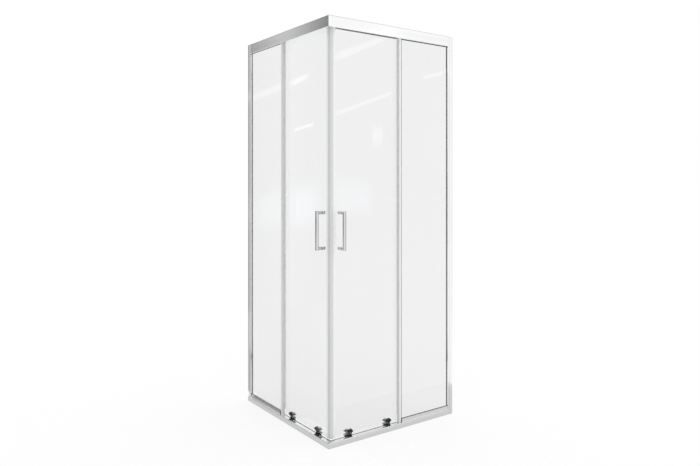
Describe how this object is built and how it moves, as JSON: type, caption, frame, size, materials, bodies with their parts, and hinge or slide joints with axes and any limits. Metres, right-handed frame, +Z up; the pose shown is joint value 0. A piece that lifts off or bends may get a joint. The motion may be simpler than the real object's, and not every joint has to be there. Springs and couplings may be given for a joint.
{
  "type": "shower enclosure",
  "caption": "Square corner-entry shower enclosure: framed clear panes on two sides, with sliding glass doors on rollers that meet at the front corner.",
  "frame": {"origin": "on the floor, under the middle of the part's box with the handles included", "axes": "+Z up; the right wall runs along X with its outer face towards -Y, the left wall runs along Y with its outer face towards -X, and the corner where the doors meet points to -X and -Y"},
  "size_m": [0.776, 0.776, 1.9],
  "materials": {
    "polished_aluminium": "bright brushed",
    "satin_aluminium": "satin",
    "clear_glass": "clear toughened",
    "dark_rubber": "matte",
    "clear_seal": "translucent",
    "grey_seal": "soft gloss",
    "chrome": "polished",
    "zinc_steel": "zinc plated",
    "black_nylon": "moulded",
    "black_casting": "black satin",
    "black_plastic": "moulded"
  },
  "bodies": {
    "frame": {"top_corner_key": "zinc_steel", "bottom_corner_key": "zinc_steel", "frame_screws": "zinc_steel", "jamb_screws": "zinc_steel", "profile_caps": "satin_aluminium", "glazing_end_caps": "black_plastic", "door_stops": "dark_rubber", "left_wall_channel": "polished_aluminium", "left_jamb": "polished_aluminium", "left_top_rail": "polished_aluminium", "left_bottom_rail": "polished_aluminium", "left_fixed_glass": "clear_glass", "left_glazing_channel": "polished_aluminium", "left_glazing_gaskets": "dark_rubber", "left_overlap_profile": "satin_aluminium", "left_overlap_seal": "clear_seal", "right_wall_channel": "polished_aluminium", "right_jamb": "polished_aluminium", "right_top_rail": "polished_aluminium", "right_bottom_rail": "polished_aluminium", "right_fixed_glass": "clear_glass", "right_glazing_channel": "polished_aluminium", "right_glazing_gaskets": "dark_rubber", "right_overlap_profile": "satin_aluminium", "right_overlap_seal": "clear_seal"},
    "left_door": {"left_door_glass": "clear_glass", "left_magnetic_seal": "grey_seal", "left_rear_seal": "clear_seal", "left_handle": "chrome", "left_handle_screws": "chrome", "left_glass_bolts": "black_casting", "left_top_hangers": "zinc_steel", "left_top_axles": "zinc_steel", "left_roller_brackets": "black_casting", "left_front_carriage_spring": "zinc_steel", "left_rear_carriage_spring": "zinc_steel"},
    "left_front_release": {"left_front_release_carriage": "chrome"},
    "left_front_top_wheel": {"left_front_top_wheel": "black_nylon"},
    "left_front_bottom_wheel": {"left_front_bottom_wheel": "black_nylon"},
    "left_rear_release": {"left_rear_release_carriage": "chrome"},
    "left_rear_top_wheel": {"left_rear_top_wheel": "black_nylon"},
    "left_rear_bottom_wheel": {"left_rear_bottom_wheel": "black_nylon"},
    "right_door": {"right_door_glass": "clear_glass", "right_magnetic_seal": "grey_seal", "right_rear_seal": "clear_seal", "right_handle": "chrome", "right_handle_screws": "chrome", "right_glass_bolts": "black_casting", "right_top_hangers": "zinc_steel", "right_top_axles": "zinc_steel", "right_roller_brackets": "black_casting", "right_front_carriage_spring": "zinc_steel", "right_rear_carriage_spring": "zinc_steel"},
    "right_front_release": {"right_front_release_carriage": "chrome"},
    "right_front_top_wheel": {"right_front_top_wheel": "black_nylon"},
    "right_front_bottom_wheel": {"right_front_bottom_wheel": "black_nylon"},
    "right_rear_release": {"right_rear_release_carriage": "chrome"},
    "right_rear_top_wheel": {"right_rear_top_wheel": "black_nylon"},
    "right_rear_bottom_wheel": {"right_rear_bottom_wheel": "black_nylon"}
  },
  "joints": [
    {"name": "left_door_slide", "type": "slide", "parent": "frame", "child": "left_door", "axis": [0, 1, 0], "range_m": [0, 0.28]},
    {"name": "left_front_release_press", "type": "slide", "parent": "left_door", "child": "left_front_release", "axis": [0, 0, -1], "range_m": [0, 0.003], "stiffness_N_per_m": 1500, "springref_m": -0.002, "deforming": ["left_front_carriage_spring"]},
    {"name": "left_front_top_wheel_spin", "type": "hinge", "parent": "left_door", "child": "left_front_top_wheel", "pos_m": [-0.3295, -0.24, 1.88], "axis": [1, 0, 0], "continuous": true},
    {"name": "left_front_bottom_wheel_spin", "type": "hinge", "parent": "left_front_release", "child": "left_front_bottom_wheel", "pos_m": [-0.327, -0.25, 0.0115], "axis": [1, 0, 0], "continuous": true},
    {"name": "left_rear_release_press", "type": "slide", "parent": "left_door", "child": "left_rear_release", "axis": [0, 0, -1], "range_m": [0, 0.003], "stiffness_N_per_m": 1500, "springref_m": -0.002, "deforming": ["left_rear_carriage_spring"]},
    {"name": "left_rear_top_wheel_spin", "type": "hinge", "parent": "left_door", "child": "left_rear_top_wheel", "pos_m": [-0.3295, -0.014, 1.88], "axis": [1, 0, 0], "continuous": true},
    {"name": "left_rear_bottom_wheel_spin", "type": "hinge", "parent": "left_rear_release", "child": "left_rear_bottom_wheel", "pos_m": [-0.327, -0.024, 0.0115], "axis": [1, 0, 0], "continuous": true},
    {"name": "right_door_slide", "type": "slide", "parent": "frame", "child": "right_door", "axis": [1, 0, 0], "range_m": [0, 0.28]},
    {"name": "right_front_release_press", "type": "slide", "parent": "right_door", "child": "right_front_release", "axis": [0, 0, -1], "range_m": [0, 0.003], "stiffness_N_per_m": 1500, "springref_m": -0.002, "deforming": ["right_front_carriage_spring"]},
    {"name": "right_front_top_wheel_spin", "type": "hinge", "parent": "right_door", "child": "right_front_top_wheel", "pos_m": [-0.24, -0.3295, 1.88], "axis": [0, 1, 0], "continuous": true},
    {"name": "right_front_bottom_wheel_spin", "type": "hinge", "parent": "right_front_release", "child": "right_front_bottom_wheel", "pos_m": [-0.25, -0.327, 0.0115], "axis": [0, 1, 0], "continuous": true},
    {"name": "right_rear_release_press", "type": "slide", "parent": "right_door", "child": "right_rear_release", "axis": [0, 0, -1], "range_m": [0, 0.003], "stiffness_N_per_m": 1500, "springref_m": -0.002, "deforming": ["right_rear_carriage_spring"]},
    {"name": "right_rear_top_wheel_spin", "type": "hinge", "parent": "right_door", "child": "right_rear_top_wheel", "pos_m": [-0.014, -0.3295, 1.88], "axis": [0, 1, 0], "continuous": true},
    {"name": "right_rear_bottom_wheel_spin", "type": "hinge", "parent": "right_rear_release", "child": "right_rear_bottom_wheel", "pos_m": [-0.024, -0.327, 0.0115], "axis": [0, 1, 0], "continuous": true}
  ],
  "couplings": [
    {"joint": "left_front_top_wheel_spin", "follows": "left_door_slide", "rad_per_m": -105.26},
    {"joint": "left_front_bottom_wheel_spin", "follows": "left_door_slide", "rad_per_m": 238.1},
    {"joint": "left_rear_top_wheel_spin", "follows": "left_door_slide", "rad_per_m": -105.26},
    {"joint": "left_rear_bottom_wheel_spin", "follows": "left_door_slide", "rad_per_m": 238.1},
    {"joint": "right_front_top_wheel_spin", "follows": "right_door_slide", "rad_per_m": 105.26},
    {"joint": "right_front_bottom_wheel_spin", "follows": "right_door_slide", "rad_per_m": -238.1},
    {"joint": "right_rear_top_wheel_spin", "follows": "right_door_slide", "rad_per_m": 105.26},
    {"joint": "right_rear_bottom_wheel_spin", "follows": "right_door_slide", "rad_per_m": -238.1}
  ]
}
